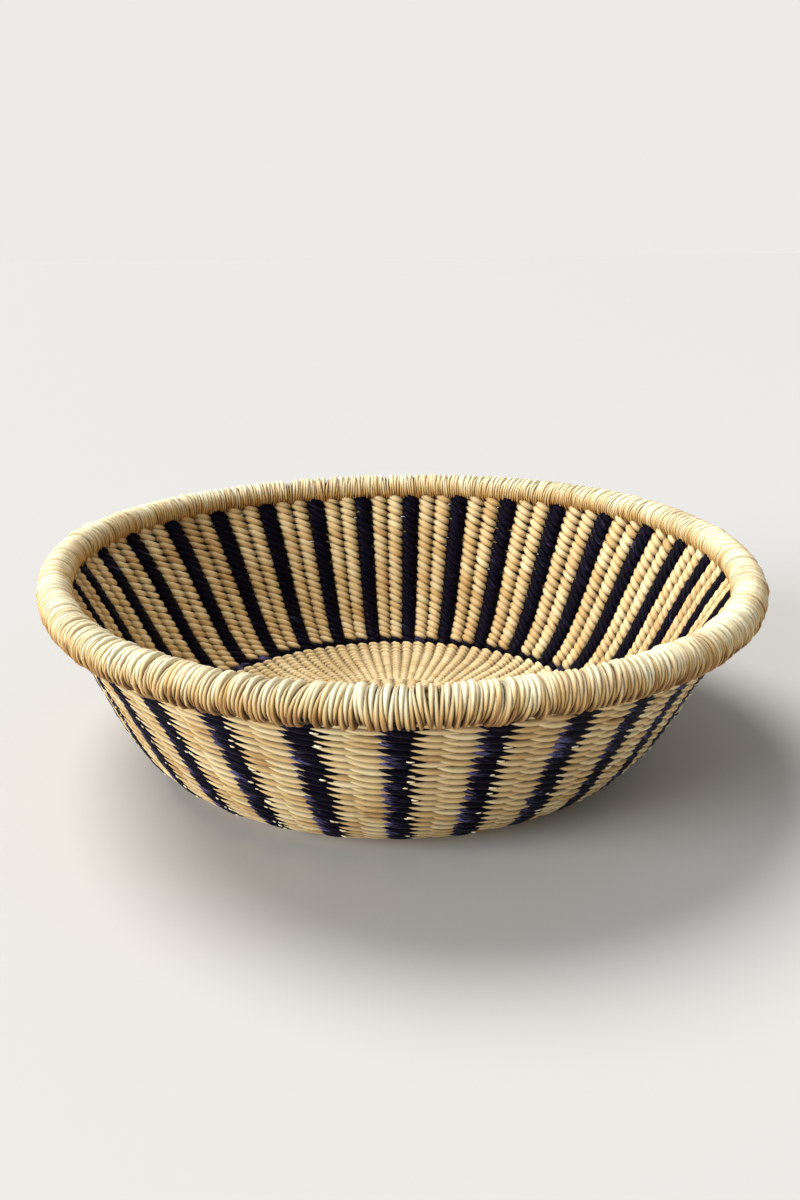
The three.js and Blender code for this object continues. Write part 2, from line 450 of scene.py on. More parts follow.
@dataclass(frozen=True)
class TraySection:
    """Half section of the tray: the flat foot, then one curve up to the rim.

    Attributes:
        radius: Half of the overall width.
        height: Overall height.
        thickness: Thickness of base and wall.
        foot: Radius of the flat underside.
        foot_curve: Length of the curve's handle at the foot.
        top_curve: Length of its handle at the rim.
        lean: Angle of the wall under the rim, from level.
        samples: Points of the curve.
        base_rise: Length of the base's turn-up, along the outer face.
        rim_thickness: Thickness of the wrapped rim.
        rim_outset: How far the rim stands outwards of the wall's middle.
        rim_to_end: From the rim's centre down to the wall's end.
        stripe_azimuth: Azimuth of the middle of a dark stripe.
        oval: Change of the radius with the azimuth, as cosine and sine of 1 to 4 waves.
        tilt: Change of the rim's height, as cosine and sine of 1 and 2 waves.
        warp: Power of the height with which both of these grow up to the rim.
        sway: How far the stakes lie from even spacing, as cosine and sine of 1, 2 and 3
            waves, in radians.
    """

    radius: float = 0.170
    height: float = 0.0952
    thickness: float = 0.0062
    foot: float = 0.0855
    foot_curve: float = 0.045
    top_curve: float = 0.056
    lean: float = math.radians(55.5)
    samples: int = 1200
    base_rise: float = 0.024
    rim_thickness: float = 0.015
    rim_outset: float = 0.0004
    rim_to_end: float = 0.0025
    stripe_azimuth: float = math.radians(6.04)
    oval: tuple[float, ...] = (0.0, 0.0, -0.0143, -0.0184, 0.0100, 0.0241, -0.0054, -0.0056)
    tilt: tuple[float, ...] = (-0.0017, 0.0, -0.0040, 0.0088)
    warp: float = 1.5
    sway: tuple[float, ...] = (-0.0070, 0.0005, -0.0094, -0.0471, -0.0302, -0.0067)

    @staticmethod
    def _waves(azimuth: np.ndarray, sizes: Sequence[float]) -> np.ndarray:
        """Adds up waves round the tray.

        Args:
            azimuth: Angles round the tray.
            sizes: Size of the cosine and the sine of one wave, of two waves and so on.

        Returns:
            Their sum at each angle.
        """
        total = np.zeros_like(azimuth)
        for number, size in enumerate(sizes):
            waves = number // 2 + 1
            total += size * (np.sin if number % 2 else np.cos)(waves * azimuth)
        return total

    @staticmethod
    def _in_space(flat: np.ndarray, azimuth: np.ndarray) -> np.ndarray:
        """Turns directions in the half section into directions in space.

        Args:
            flat: Outward and upward part of each direction.
            azimuth: Its angle round the tray.

        Returns:
            One direction for each.
        """
        level = flat[..., 0]
        return np.stack((level * np.cos(azimuth), level * np.sin(azimuth), flat[..., 1]), -1)

    @property
    def base_end(self) -> float:
        """Station where the base's turn-up ends and the wall begins."""
        return self.foot + self.base_rise

    @property
    def rim_centre(self) -> np.ndarray:
        """Radius and height of the rim's centre."""
        half = self.rim_thickness / 2
        return np.array((self.radius - half, self.height - half))

    @property
    def up_wall(self) -> np.ndarray:
        """Direction up along the wall under the rim."""
        return np.array((math.cos(self.lean), math.sin(self.lean)))

    @property
    def out_of_wall(self) -> np.ndarray:
        """Direction square out of the wall under the rim."""
        return np.array((math.sin(self.lean), -math.cos(self.lean)))

    def settled(self, azimuth: np.ndarray) -> np.ndarray:
        """Where a place of the evenly spaced weave has come to lie."""
        return azimuth + self._waves(azimuth, self.sway)

    def table(self) -> tuple[np.ndarray, np.ndarray]:
        """Samples the outer face.

        Returns:
            The stations along the face, and the radius and height at each.
        """
        end = (
            self.rim_centre
            - self.up_wall * self.rim_to_end
            + self.out_of_wall * (self.thickness / 2 - self.rim_outset)
        )
        handles = np.array(
            (
                (self.foot, 0.0),
                (self.foot + self.foot_curve, 0.0),
                end - self.up_wall * self.top_curve,
                end,
            )
        )
        t = np.linspace(0.0, 1.0, self.samples)[:, None]
        weights = ((1 - t) ** 3, 3 * (1 - t) ** 2 * t, 3 * (1 - t) * t**2, t**3)
        curve = sum(weight * handle for weight, handle in zip(weights, handles))
        points = np.vstack(((0.0, 0.0), curve))
        steps = np.linalg.norm(np.diff(points, axis=0), axis=1)
        return np.concatenate(((0.0,), np.cumsum(steps))), points

    def length(self) -> float:
        """Length of the outer face from the middle of the base to the wall's end."""
        return float(self.table()[0][-1])

    def middle(self, station: np.ndarray) -> tuple[np.ndarray, np.ndarray]:
        """The middle of the wall's thickness.

        Args:
            station: Places along the outer face.

        Returns:
            Radius and height at each station, and the direction square outwards.
        """
        stations, points = self.table()
        slopes = np.gradient(points, stations, axis=0)
        slopes[0] = (1.0, 0.0)
        face = np.stack([np.interp(station, stations, points[:, i]) for i in (0, 1)], -1)
        along = np.stack([np.interp(station, stations, slopes[:, i]) for i in (0, 1)], -1)
        along /= np.linalg.norm(along, axis=-1, keepdims=True)
        out = np.stack((along[..., 1], -along[..., 0]), -1)
        return face - out * self.thickness / 2, out

    def turned(self, place: np.ndarray, azimuth: np.ndarray) -> np.ndarray:
        """Turns radius and height into a point, on a tray that isn't quite round.

        Args:
            place: Radius and height of each point.
            azimuth: Its angle round the tray.

        Returns:
            One point for each.
        """
        share = np.clip(place[..., 1] / self.rim_centre[1], 0.0, 1.0) ** self.warp
        share = share * self.rim_centre[0]
        radius = place[..., 0] + share * self._waves(azimuth, self.oval)
        height = place[..., 1] + share * self._waves(azimuth, self.tilt)
        return np.stack((radius * np.cos(azimuth), radius * np.sin(azimuth), height), -1)

    def on_wall(self, station: np.ndarray, out: np.ndarray, azimuth: np.ndarray) -> np.ndarray:
        """Points at a distance outwards from the middle of the wall.

        Args:
            station: Places along the outer face.
            out: Distances outwards.
            azimuth: Angles round the tray.

        Returns:
            One point for each.
        """
        middle, square = self.middle(station)
        return self.turned(middle + square * out[..., None], azimuth)

    def out_of_weave(self, station: np.ndarray, azimuth: np.ndarray) -> np.ndarray:
        """Directions square out of base and wall, in space."""
        return self._in_space(self.middle(station)[1], azimuth)

    def on_rim(self, out: np.ndarray, angle: np.ndarray, azimuth: np.ndarray) -> np.ndarray:
        """Points round the rim's centre.

        Args:
            out: Distances from the centre.
            angle: Angles round the centre, from square outwards.
            azimuth: Angles round the tray.

        Returns:
            One point for each.
        """
        place = (
            self.rim_centre
            + (out * np.cos(angle))[:, None] * self.out_of_wall
            + (out * np.sin(angle))[:, None] * self.up_wall
        )
        return self.turned(place, azimuth)

    def out_of_rim(self, angle: np.ndarray, azimuth: np.ndarray) -> np.ndarray:
        """Directions square out of the rim's round section, in space."""
        flat = np.cos(angle)[:, None] * self.out_of_wall + np.sin(angle)[:, None] * self.up_wall
        return self._in_space(flat, azimuth)


@dataclass
class Run:
    """One stretch of strand.

    Attributes:
        path: Points along its middle.
        thickness: Half of its width at each point.
        square: Direction in which it is flattened, at each point.
        tone: Lightness at each point, about 0 to 1: the grass's own tone, and in places painted
            light.
        depth: How open it lies at each point, 0 in the weave to 1 outside. The finish paints
            shade where it is low.
        crease_shade: How much painted shade its sides take there, where they meet its neighbours,
            0 to 1.
    """

    path: np.ndarray
    thickness: np.ndarray
    square: np.ndarray
    tone: np.ndarray
    depth: np.ndarray
    crease_shade: np.ndarray | float = 0.6

    def along(self) -> np.ndarray:
        """How far along the strand each of its points lies."""
        steps = np.linalg.norm(np.diff(self.path, axis=0), axis=1)
        return np.concatenate(((0.0,), np.cumsum(steps)))


@dataclass
class SweptPiece:
    """A piece made of strands that are swept along their paths.

    Attributes:
        name: Name of the piece.
        runs: Its strands.
        finish: Its finish.
        sides: Sides of the sweep.
        flatness: Thickness over width.
        folds: Depth of the folds along the strand, as a share of its width.
        fold_length: Length in which the folds turn once round it.
        fold_count: How many folds lie side by side.
        crease_shade_power: How soon the painted shade sets in from a strand's top towards its
            sides, lower is sooner.
        grain_shift: How far the grain is shifted from each strand to the next.
        clearance: Least height over the floor.
    """

    name: str
    runs: list[Run]
    finish: GrassFinish
    sides: Sides = Sides.SIX
    flatness: float = 0.64
    folds: float = 0.0
    fold_length: float = 0.027
    fold_count: int = 3
    crease_shade_power: float = 0.42
    grain_shift: float = 0.37
    clearance: float = 0.02 * MM

    def build(self, materials: Materials, nodes: Sequence[str]) -> None:
        """Makes the piece and sets it on the frame.

        Args:
            materials: The material of each slot.
            nodes: CAD nodes that it stands for.
        """
        shape = bmesh.new()
        fibre, tone, depth = [], [], []
        # Painted shade at the sides of each strand, where it meets its neighbours.
        level = np.abs(np.cos(self.sides.turns()))
        side_shade = (1 - level / level.max()) ** self.crease_shade_power
        for number, run in enumerate(self.runs):
            mesh = self._swept(run)
            mesh.vertices.foreach_set("co", self._laid(mesh, run).ravel())
            fibre.append(self._fibre(run, number))
            tone.append(np.repeat(run.tone, self.sides.value))
            crease_shade = np.broadcast_to(run.crease_shade, run.depth.shape)
            depth.append((run.depth[:, None] * (1 - np.outer(crease_shade, side_shade))).ravel())
            shape.from_mesh(mesh)
            bpy.data.meshes.remove(mesh)
        ends = [edge for edge in shape.edges if edge.is_boundary]
        bmesh.ops.holes_fill(shape, edges=ends, sides=self.sides.value)
        mesh = bpy.data.meshes.new(self.name)
        shape.to_mesh(mesh)
        shape.free()
        self._write(mesh, "fibre", "FLOAT_VECTOR", "vector", np.concatenate(fibre))
        self._write(mesh, "tone", "FLOAT", "value", np.concatenate(tone))
        self._write(mesh, "depth", "FLOAT", "value", np.concatenate(depth))
        mesh.shade_smooth()
        mesh.materials.append(materials[self.finish.slot])
        piece = bpy.data.objects.new(self.name, mesh)
        bpy.context.scene.collection.objects.link(piece)
        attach(piece, BODY)
        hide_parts(*nodes)
        LOG.info("%s: %d strands, %d faces", self.name, len(self.runs), len(mesh.polygons))

    def _swept(self, run: Run) -> bpy.types.Mesh:
        """Sweeps a round section along a run, and leaves its ends open.

        Args:
            run: The run.

        Returns:
            A mesh with a ring of points for each point of the run.
        """
        curve = bpy.data.curves.new(self.name, "CURVE")
        curve.dimensions = "3D"
        curve.bevel_depth = 1.0
        curve.bevel_resolution = self.sides.resolution()
        spline = curve.splines.new("POLY")
        spline.points.add(len(run.path) - 1)
        spline.points.foreach_set("co", np.pad(run.path, ((0, 0), (0, 1))).ravel())
        spline.points.foreach_set("radius", run.thickness)
        carrier = bpy.data.objects.new(self.name, curve)
        bpy.context.scene.collection.objects.link(carrier)
        graph = bpy.context.evaluated_depsgraph_get()
        mesh = bpy.data.meshes.new_from_object(carrier.evaluated_get(graph))
        bpy.data.objects.remove(carrier)
        bpy.data.curves.remove(curve)
        return mesh

    def _laid(self, mesh: bpy.types.Mesh, run: Run) -> np.ndarray:
        """Lays a swept strand flat, square to the wall, and keeps it above the floor.

        Args:
            mesh: The strand as it was swept.
            run: Its run.

        Returns:
            The places of the mesh's points, ring by ring.
        """
        places = np.zeros(len(mesh.vertices) * 3)
        mesh.vertices.foreach_get("co", places)
        rings = places.reshape(len(run.path), self.sides.value, 3) - run.path[:, None]
        along = np.gradient(run.path, axis=0)
        along /= np.linalg.norm(along, axis=1, keepdims=True)
        out = run.square - (run.square * along).sum(1, keepdims=True) * along
        out /= np.linalg.norm(out, axis=1, keepdims=True)
        way = np.sign((np.cross(rings[:, 0], rings[:, 1]) * along).sum())
        beside = way * np.cross(along, out)
        turns = self.sides.turns()[None, :]
        twist = 2 * math.pi * run.along()[:, None] / self.fold_length
        folded = self.folds * np.sin(self.fold_count * turns + twist)
        size = run.thickness[:, None] * (1 + folded)
        wide = size * np.sin(turns)
        deep = self.flatness * np.sqrt(size * run.thickness.max()) * np.cos(turns)
        rings = run.path[:, None] + deep[..., None] * out[:, None]
        rings += wide[..., None] * beside[:, None]
        rings[..., 2] = np.maximum(rings[..., 2], self.clearance)
        return rings

    def _fibre(self, run: Run, number: int) -> np.ndarray:
        """Places of the points on the strand, for the grain.

        Args:
            run: The run.
            number: Which run of the piece it is.

        Returns:
            How far along the strand each point lies, and where round it.
        """
        along = run.along() + self.grain_shift * number
        turn = self.sides.turns()
        shape = (len(run.path), self.sides.value)
        return np.stack(
            (
                np.broadcast_to(along[:, None], shape),
                run.thickness[:, None] * np.cos(turn),
                run.thickness[:, None] * np.sin(turn),
            ),
            -1,
        ).reshape(-1, 3)

    @staticmethod
    def _write(mesh: bpy.types.Mesh, name: str, kind: str, item: str, values: np.ndarray) -> None:
        """Writes an attribute of the mesh's points."""
        mesh.attributes.new(name, kind, "POINT").data.foreach_set(item, values.ravel())


@dataclass(frozen=True)
class Habit:
    """How one kind of strand lies in the weave.

    Attributes:
        width: Width against the usual one.
        ends: Width where it passes between two stakes, as a share of its own.
        steepness: Slope of its floats against the usual one.
        raised_start: How much higher a float starts than its slope gives.
        proud: How far its floats stand out over the others.
        crossing: How much of it lies outside: two thirds at a half, and less at a lower value.
        lit_start: How much lighter a float is where it starts than in its middle: painted light
            on the start, which faces the light.
        mottled: How much the floats differ in lightness.
        lightness: How light the floats are on average.
        lit_inside: How much lighter the strand is on the inside of the wall: painted light, since
            the light falls into the tray.
        crease_shade: How much painted shade a float's sides take against its middle.
    """

    width: float = 1.0
    ends: float = 0.57
    steepness: float = 1.0
    raised_start: float = 0.0
    proud: float = 0.0
    crossing: float = 0.5
    lit_start: float = 0.0
    mottled: float = 0.2
    lightness: float = 0.5
    lit_inside: float = 0.0
    crease_shade: float = 0.35


BASE_HABIT = Habit(ends=0.6, lightness=0.72, lit_inside=0.26, crease_shade=0.25)
RING_HABIT = Habit(ends=0.6, lightness=0.4)
NATURAL_HABIT = Habit(
    raised_start=1.6 * MM,
    lit_start=0.16,
    lightness=0.6,
    lit_inside=0.05,
    crease_shade=1.0,
)
STRIPE_HABIT = Habit(
    width=1.05,
    ends=0.64,
    steepness=1.5,
    raised_start=1.6 * MM,
    proud=0.25 * MM,
    crossing=0.42,
    lit_start=0.38,
    mottled=0.09,
    lightness=0.46,
    crease_shade=0.7,
)


@dataclass(frozen=True)
class Unevenness:
    """How far twining by hand strays from even.

    Attributes:
        out: Distance of a float outwards.
        height: Height of a float.
        slope: Slope of a float, as a share.
        width: Width of half a float, as a share.
        wave: Height of the slow waves in a course.
        wave_rates: Rates of the two waves that they are made of, against the azimuth.
        wave_start: Angle at which the first of them starts.
    """

    out: float = 0.08 * MM
    height: float = 0.12 * MM
    slope: float = 0.16
    width: float = 0.07
    wave: float = 0.28 * MM
    wave_rates: Span = (3.3, 0.61)
    wave_start: float = 1.7


@dataclass(frozen=True)
class Twining:
    """Courses of three strands twined round the stakes.

    Attributes:
        section: The tray's section.
        stakes: Number of stakes.
        strand: Half of a strand's width.
        points: Points for each three stakes.
        pitch: Rise of the wall for each course, evened out to whole courses.
        reach: Distance of a strand's middle from the middle of the wall.
        slope: Half of the height that a float loses from end to end.
        lap: How far out a float starts, and how far in it ends.
        taper: How soon a float gets narrow towards its ends.
        inside_taper: How soon it does on the inside of the wall.
        haste: How soon a strand gets from the middle of the wall to its face.
        inside_reach: How far inwards that takes it, as a share of the way outwards.
        hang: How much less steeply a float falls in its middle, as a share.
        shaded_end: How much painted shade a float takes towards its end, where it goes under the
            next float, 0 to 1.
        inside_crease_shade: Painted shade at the sides of floats on the inside of the wall, as a
            share of that outside.
        uneven: How far all of this strays.
    """

    section: TraySection
    stakes: int
    strand: float
    points: int
    pitch: float = 0.0034
    reach: float = 0.00205
    slope: float = 0.00115
    lap: float = 0.0004
    taper: float = 1.5
    inside_taper: float = 0.7
    haste: float = 2.4
    inside_reach: float = 0.83
    hang: float = 0.5
    shaded_end: float = 0.35
    inside_crease_shade: float = 0.5
    uneven: Unevenness = Unevenness()

    def run(self, order: int, first: float, last: float, seed: int, habit: Habit) -> Run:
        """One strand of the three, over a range of stations.

        Args:
            order: Which strand, 0 to 2. It is that many stakes further round.
            first: Station where the strand begins.
            last: Station where it ends.
            seed: Seed of its irregularities.
            habit: How it lies between the others.

        Returns:
            The strand.
        """
        rng, uneven = np.random.default_rng(seed), self.uneven
        courses = round((last - first) / self.pitch)
        count = int(courses * self.stakes / TWINED * self.points)
        start = self.section.stripe_azimuth
        even = start + np.linspace(0.0, 2 * math.pi * courses, count)
        spacing = 2 * math.pi / self.stakes
        floats = ((even - start) / spacing - order) / TWINED
        phase = 2 * math.pi * floats
        away = np.cos(phase) + habit.crossing
        outside = away > 0
        open_share = np.tanh(self.haste * away)
        inwards = open_share / self.inside_reach
        fallen = np.sin(phase - self.hang * np.sin(phase))
        out = self.reach * np.where(outside, open_share, inwards)
        out -= self.lap * fallen * np.clip(open_share, 0.0, 1.0)
        out += habit.proud * open_share + drift(rng, floats, uneven.out)
        station = np.linspace(first, last, count)
        wave = np.sin(uneven.wave_rates[0] * even + uneven.wave_start)
        station += uneven.wave * wave * np.sin(uneven.wave_rates[1] * even)
        station += habit.raised_start * np.clip(-fallen, 0.0, 1.0) ** 2
        slope = self.slope * habit.steepness * (1 + drift(rng, floats, uneven.slope))
        station += drift(rng, floats, uneven.height) - slope * fallen
        full = away / np.where(outside, 1 + habit.crossing, habit.crossing - 1)
        full = full ** np.where(outside, self.taper, self.inside_taper)
        thickness = self.strand * habit.width * (1 + drift(rng, floats * 2, uneven.width))
        thickness *= habit.ends + (1 - habit.ends) * full
        azimuth = self.section.settled(even)
        tone = habit.lightness + drift(rng, floats, habit.mottled)
        # Painted light: float starts lighter outside, and the strand lighter on the inside of the
        # tray.
        tone += np.where(outside, -habit.lit_start * fallen, habit.lit_inside)
        # Low depth is painted shade: where the strand dives into the weave, and towards a float's
        # end.
        depth = np.where(outside, open_share, -inwards)
        return Run(
            path=self.section.on_wall(station, out, azimuth),
            thickness=thickness,
            square=self.section.out_of_weave(station, azimuth),
            tone=np.clip(tone, 0.0, 1.0),
            depth=depth * (1 - self.shaded_end * np.clip(fallen, 0.0, 1.0)),
            crease_shade=habit.crease_shade * np.where(outside, 1.0, self.inside_crease_shade),
        )


@dataclass(frozen=True)
class CutEnds:
    """Short cut ends of strands that stand out beside the dyed floats.

    A pair of values is the least and the greatest that is drawn.

    Attributes:
        count: How many there are.
        begin: Where one begins past the middle of a dark stripe, in stripes.
        length: Its length, in stripes.
        start: Height where it begins, against the line of its course.
        rise: How much it rises towards its tip.
        half_width: Half of its width.
        bends: Shares of its length at which it turns.
        out: How far outwards it stands at them.
        shape: Width at its points against its own.
        tone: Lightness, which is more than that of any strand.
    """

    count: int = 290
    begin: Span = (-0.03, 0.09)
    length: Span = (0.08, 0.14)
    start: Span = (-1.5 * MM, -0.6 * MM)
    rise: Span = (0.0, 0.6 * MM)
    half_width: Span = (0.32 * MM, 0.5 * MM)
    bends: Triple = (0.0, 0.3, 1.0)
    out: Triple = (0.3 * MM, 1.8 * MM, 2.1 * MM)
    shape: tuple[float, ...] = (1.0, 1.1, 1.0, 0.9, 0.6)
    tone: float = 1.3

    def runs(self, twining: Twining, first: float, last: float) -> list[Run]:
        """Sets the cut ends on the wall.

        Args:
            twining: The strands that they stand between.
            first: Station where the strands begin.
            last: Station where they end.

        Returns:
            The cut ends.
        """
        rng = np.random.default_rng(Seed.CUT_ENDS)
        section, stripes = twining.section, twining.stakes // TWINED
        points = len(self.shape)
        share = np.linspace(0.0, 1.0, points)
        runs = []
        for _ in range(self.count):
            course = rng.integers(1, int((last - first) / twining.pitch) - 1)
            begin = rng.integers(stripes) + rng.uniform(*self.begin)
            place = begin + share * rng.uniform(*self.length)
            azimuth = section.stripe_azimuth + place * 2 * math.pi / stripes
            height = rng.uniform(*self.start) + share * rng.uniform(*self.rise)
            station = first + twining.pitch * (course + place / stripes) + height
            out = twining.reach + np.interp(share, self.bends, self.out)
            settled = section.settled(azimuth)
            runs.append(
                Run(
                    path=section.on_wall(station, out, settled),
                    thickness=rng.uniform(*self.half_width) * np.array(self.shape),
                    square=section.out_of_weave(station, settled),
                    tone=np.full(points, self.tone),
                    depth=np.ones(points),
                    crease_shade=0.0,
                )
            )
        return runs


@dataclass(frozen=True)
class Zone:
    """A ring of the base with its own number of stakes. The last one runs on up the wall.

    Attributes:
        first: Radius where it begins.
        stakes: Its number of stakes.
        stake_width: Their width against the usual one.
        stake_points: Points along a stake.
        strand_points: Points of a strand of the base for each three stakes.
    """

    first: float
    stakes: int
    stake_width: float = 1.0
    stake_points: int = 6
    strand_points: int = 12


ZONES = (
    Zone(0.009, 12, stake_width=1.3),
    Zone(0.018, 24, stake_width=1.3),
    Zone(0.032, 51),
    Zone(0.058, 102, stake_points=22, strand_points=10),
)


@dataclass(frozen=True)
class WallWeave:
    """The striped wall and the dark ring at its foot.

    Attributes:
        section: The tray's section.
        ring_courses: Courses of the dark ring.
        top_clearance: How far below the wall's end the last course stops.
        pitch: Rise of the wall for each course.
        strand: Half of a strand's width.
        slope: Half of the height that a float loses from end to end.
        reach: Distance of a strand's middle from the middle of the wall.
        flatness: Thickness of a strand over its width.
        taper: How soon a float gets narrow towards its ends.
        points: Points of a strand for each three stakes.
        dyed_folds: Depth of the folds along the dyed strand, as a share of its width.
        dyed_fold_length: Length in which they turn once round it.
        cut_ends: Cut ends of strands that stand out of the dark stripes.
    """

    section: TraySection
    ring_courses: int = 1
    top_clearance: float = 0.0016
    pitch: float = 0.0042
    strand: float = 0.00215
    slope: float = 0.0015
    reach: float = 0.0017
    flatness: float = 0.7
    taper: float = 2.0
    points: int = 16
    dyed_folds: float = 0.11
    dyed_fold_length: float = 0.02
    cut_ends: CutEnds = CutEnds()

    def build(self, materials: Materials) -> None:
        """Makes the strands of the wall.

        Args:
            materials: The material of each slot.
        """
        twining = Twining(
            self.section,
            ZONES[-1].stakes,
            self.strand,
            self.points,
            pitch=self.pitch,
            reach=self.reach,
            slope=self.slope,
            taper=self.taper,
        )
        foot = self.section.base_end
        ring_top = foot + self.ring_courses * self.pitch
        top = self.section.length() - self.top_clearance
        dark = [f"dark_weave_{quarter}" for quarter in QUARTERS]
        natural = [f"natural_weave_{quarter}" for quarter in QUARTERS]
        ring = [
            twining.run(order, foot, ring_top, Seed.RING + order, RING_HABIT)
            for order in range(TWINED)
        ]
        SweptPiece("dark_ring", ring, DYED, flatness=self.flatness).build(materials, dark)
        dyed = SweptPiece(
            "dyed_strand",
            [twining.run(0, ring_top, top, Seed.DYED, STRIPE_HABIT)],
            DYED,
            Sides.EIGHT,
            self.flatness,
            folds=self.dyed_folds,
            fold_length=self.dyed_fold_length,
        )
        dyed.build(materials, dark)
        for order, letter in enumerate("ab", start=1):
            name = f"natural_strand_{letter}"
            strand = [twining.run(order, ring_top, top, Seed.NATURAL + order, NATURAL_HABIT)]
            piece = SweptPiece(name, strand, NATURAL, Sides.EIGHT, self.flatness)
            piece.build(materials, natural)
        ends = self.cut_ends.runs(twining, ring_top, top)
        SweptPiece("cut_ends", ends, WRAP).build(materials, natural)


@dataclass(frozen=True)
class BaseWeave:
    """The base's natural courses, closer in the middle, where there are fewer stakes.

    Attributes:
        section: The tray's section.
        strand: Half of a strand's width.
        zone_seeds: From the seeds of one zone to those of the next.
    """

    section: TraySection
    strand: float = 0.0017
    zone_seeds: int = 10

    def build(self, materials: Materials) -> None:
        """Makes the strands of the base.

        Args:
            materials: The material of each slot.
        """
        ends = [zone.first for zone in ZONES[1:]] + [self.section.base_end]
        for order, letter in enumerate("abc"):
            runs = []
            for number, (zone, last) in enumerate(zip(ZONES, ends)):
                twining = Twining(self.section, zone.stakes, self.strand, zone.strand_points)
                seed = Seed.BASE + self.zone_seeds * number + order
                runs.append(twining.run(order, zone.first, last, seed, BASE_HABIT))
            SweptPiece(f"base_strand_{letter}", runs, NATURAL).build(materials, ["base_weave"])


@dataclass(frozen=True)
class CrossedStems:
    """The stems that cross in the middle of the base, over and under each other.

    Attributes:
        section: The tray's section.
        stems: How many lie each way.
        reach: Half of their length.
        step: From each one to the next.
        woven: How far from the middle they still cross.
        fade: Length in which they come level before that.
        rise: How far one lies over or under the middle of the base.
        half_width: Half of a stem's width.
        flatness: Thickness of a stem over its width.
        tone: Average and spread of their lightness.
        points: Points along a stem.
    """

    section: TraySection
    stems: int = 6
    reach: float = 0.0135
    step: float = 0.0031
    woven: float = 0.0105
    fade: float = 0.002
    rise: float = 1.15 * MM
    half_width: float = 1.45 * MM
    flatness: float = 0.8
    tone: Span = (0.6, 0.15)
    points: int = 25

    def build(self, materials: Materials, rng: np.random.Generator) -> None:
        """Makes the crossed stems.

        Args:
            materials: The material of each slot.
            rng: The seeded source that the stakes were drawn from.
        """
        ways = [(way, number) for way in (0, 1) for number in range(self.stems)]
        runs = [self._stem(way, number, rng) for way, number in ways]
        piece = SweptPiece("crossed_stems", runs, STAKE, flatness=self.flatness)
        piece.build(materials, ["start_knot"])

    def _stem(self, way: int, number: int, rng: np.random.Generator) -> Run:
        """One stem.

        Args:
            way: 0 for a stem along x, 1 for one along y.
            number: Its place among them.
            rng: The seeded source.

        Returns:
            The stem.
        """
        across = (number - (self.stems - 1) / 2) * self.step
        along = np.linspace(-self.reach, self.reach, self.points)
        over = np.cos(math.pi * along / self.step + math.pi * (number + way + 0.5))
        over *= np.clip((self.woven - np.abs(along)) / self.fade, 0.0, 1.0)
        flat = np.stack((along, np.full(self.points, across)), -1)
        flat = flat if way == 0 else flat[:, ::-1]
        return Run(
            path=np.column_stack((flat, self.section.thickness / 2 + self.rise * over)),
            thickness=np.full(self.points, self.half_width),
            square=np.tile((0.0, 0.0, 1.0), (self.points, 1)),
            tone=np.full(self.points, drawn_tone(rng, *self.tone)),
            # Painted shade where the stem lies level, neither over nor under: between its
            # crossings, and past them under the base.
            depth=np.abs(over),
        )


@dataclass(frozen=True)
class Stakes:
    """The grass stakes that the strands are twined round.

    Attributes:
        section: The tray's section.
        half_width: Half of a stake's width.
        run_in: How far a stake reaches into the zone inside its own.
        run_up: How far the last stakes reach past the wall's end into the rim.
        flatness: Thickness of a stake over its width.
        tone: Average and spread of their lightness.
        depth: How open they lie; below 1 the finish paints shade on them.
    """

    section: TraySection
    half_width: float = 0.0016
    run_in: float = 0.003
    run_up: float = 0.002
    flatness: float = 0.85
    tone: Span = (0.45, 0.15)
    depth: float = 0.5

    def build(self, materials: Materials) -> None:
        """Makes the stakes and the crossed stems in the middle.

        Args:
            materials: The material of each slot.
        """
        ends = [zone.first for zone in ZONES[1:]] + [self.section.length() + self.run_up]
        rng = np.random.default_rng(Seed.STAKES)
        runs = []
        for zone, last in zip(ZONES, ends):
            stations = np.linspace(zone.first - self.run_in, last, zone.stake_points)
            for number in range(zone.stakes):
                turn = (number + 0.5) * 2 * math.pi / zone.stakes
                runs.append(self._stake(stations, turn, zone.stake_width, rng))
        stripes = ZONES[-1].stakes // TWINED
        names = [f"stake_{number:02d}" for number in range(1, stripes + 1)]
        SweptPiece("stakes", runs, STAKE, flatness=self.flatness).build(materials, names)
        CrossedStems(self.section).build(materials, rng)

    def _stake(
        self, stations: np.ndarray, turn: float, width: float, rng: np.random.Generator
    ) -> Run:
        """One stake along the middle of the wall.

        Args:
            stations: Places of its points along the outer face.
            turn: How far round it stands from the middle of a dark stripe.
            width: Its width against the usual one.
            rng: The seeded source.

        Returns:
            The stake.
        """
        azimuth = np.full(len(stations), self.section.stripe_azimuth + turn)
        settled = self.section.settled(azimuth)
        return Run(
            path=self.section.on_wall(stations, np.zeros(len(stations)), settled),
            thickness=np.full(len(stations), width * self.half_width),
            square=self.section.out_of_weave(stations, settled),
            tone=np.full(len(stations), drawn_tone(rng, *self.tone)),
            depth=np.full(len(stations), self.depth),
        )


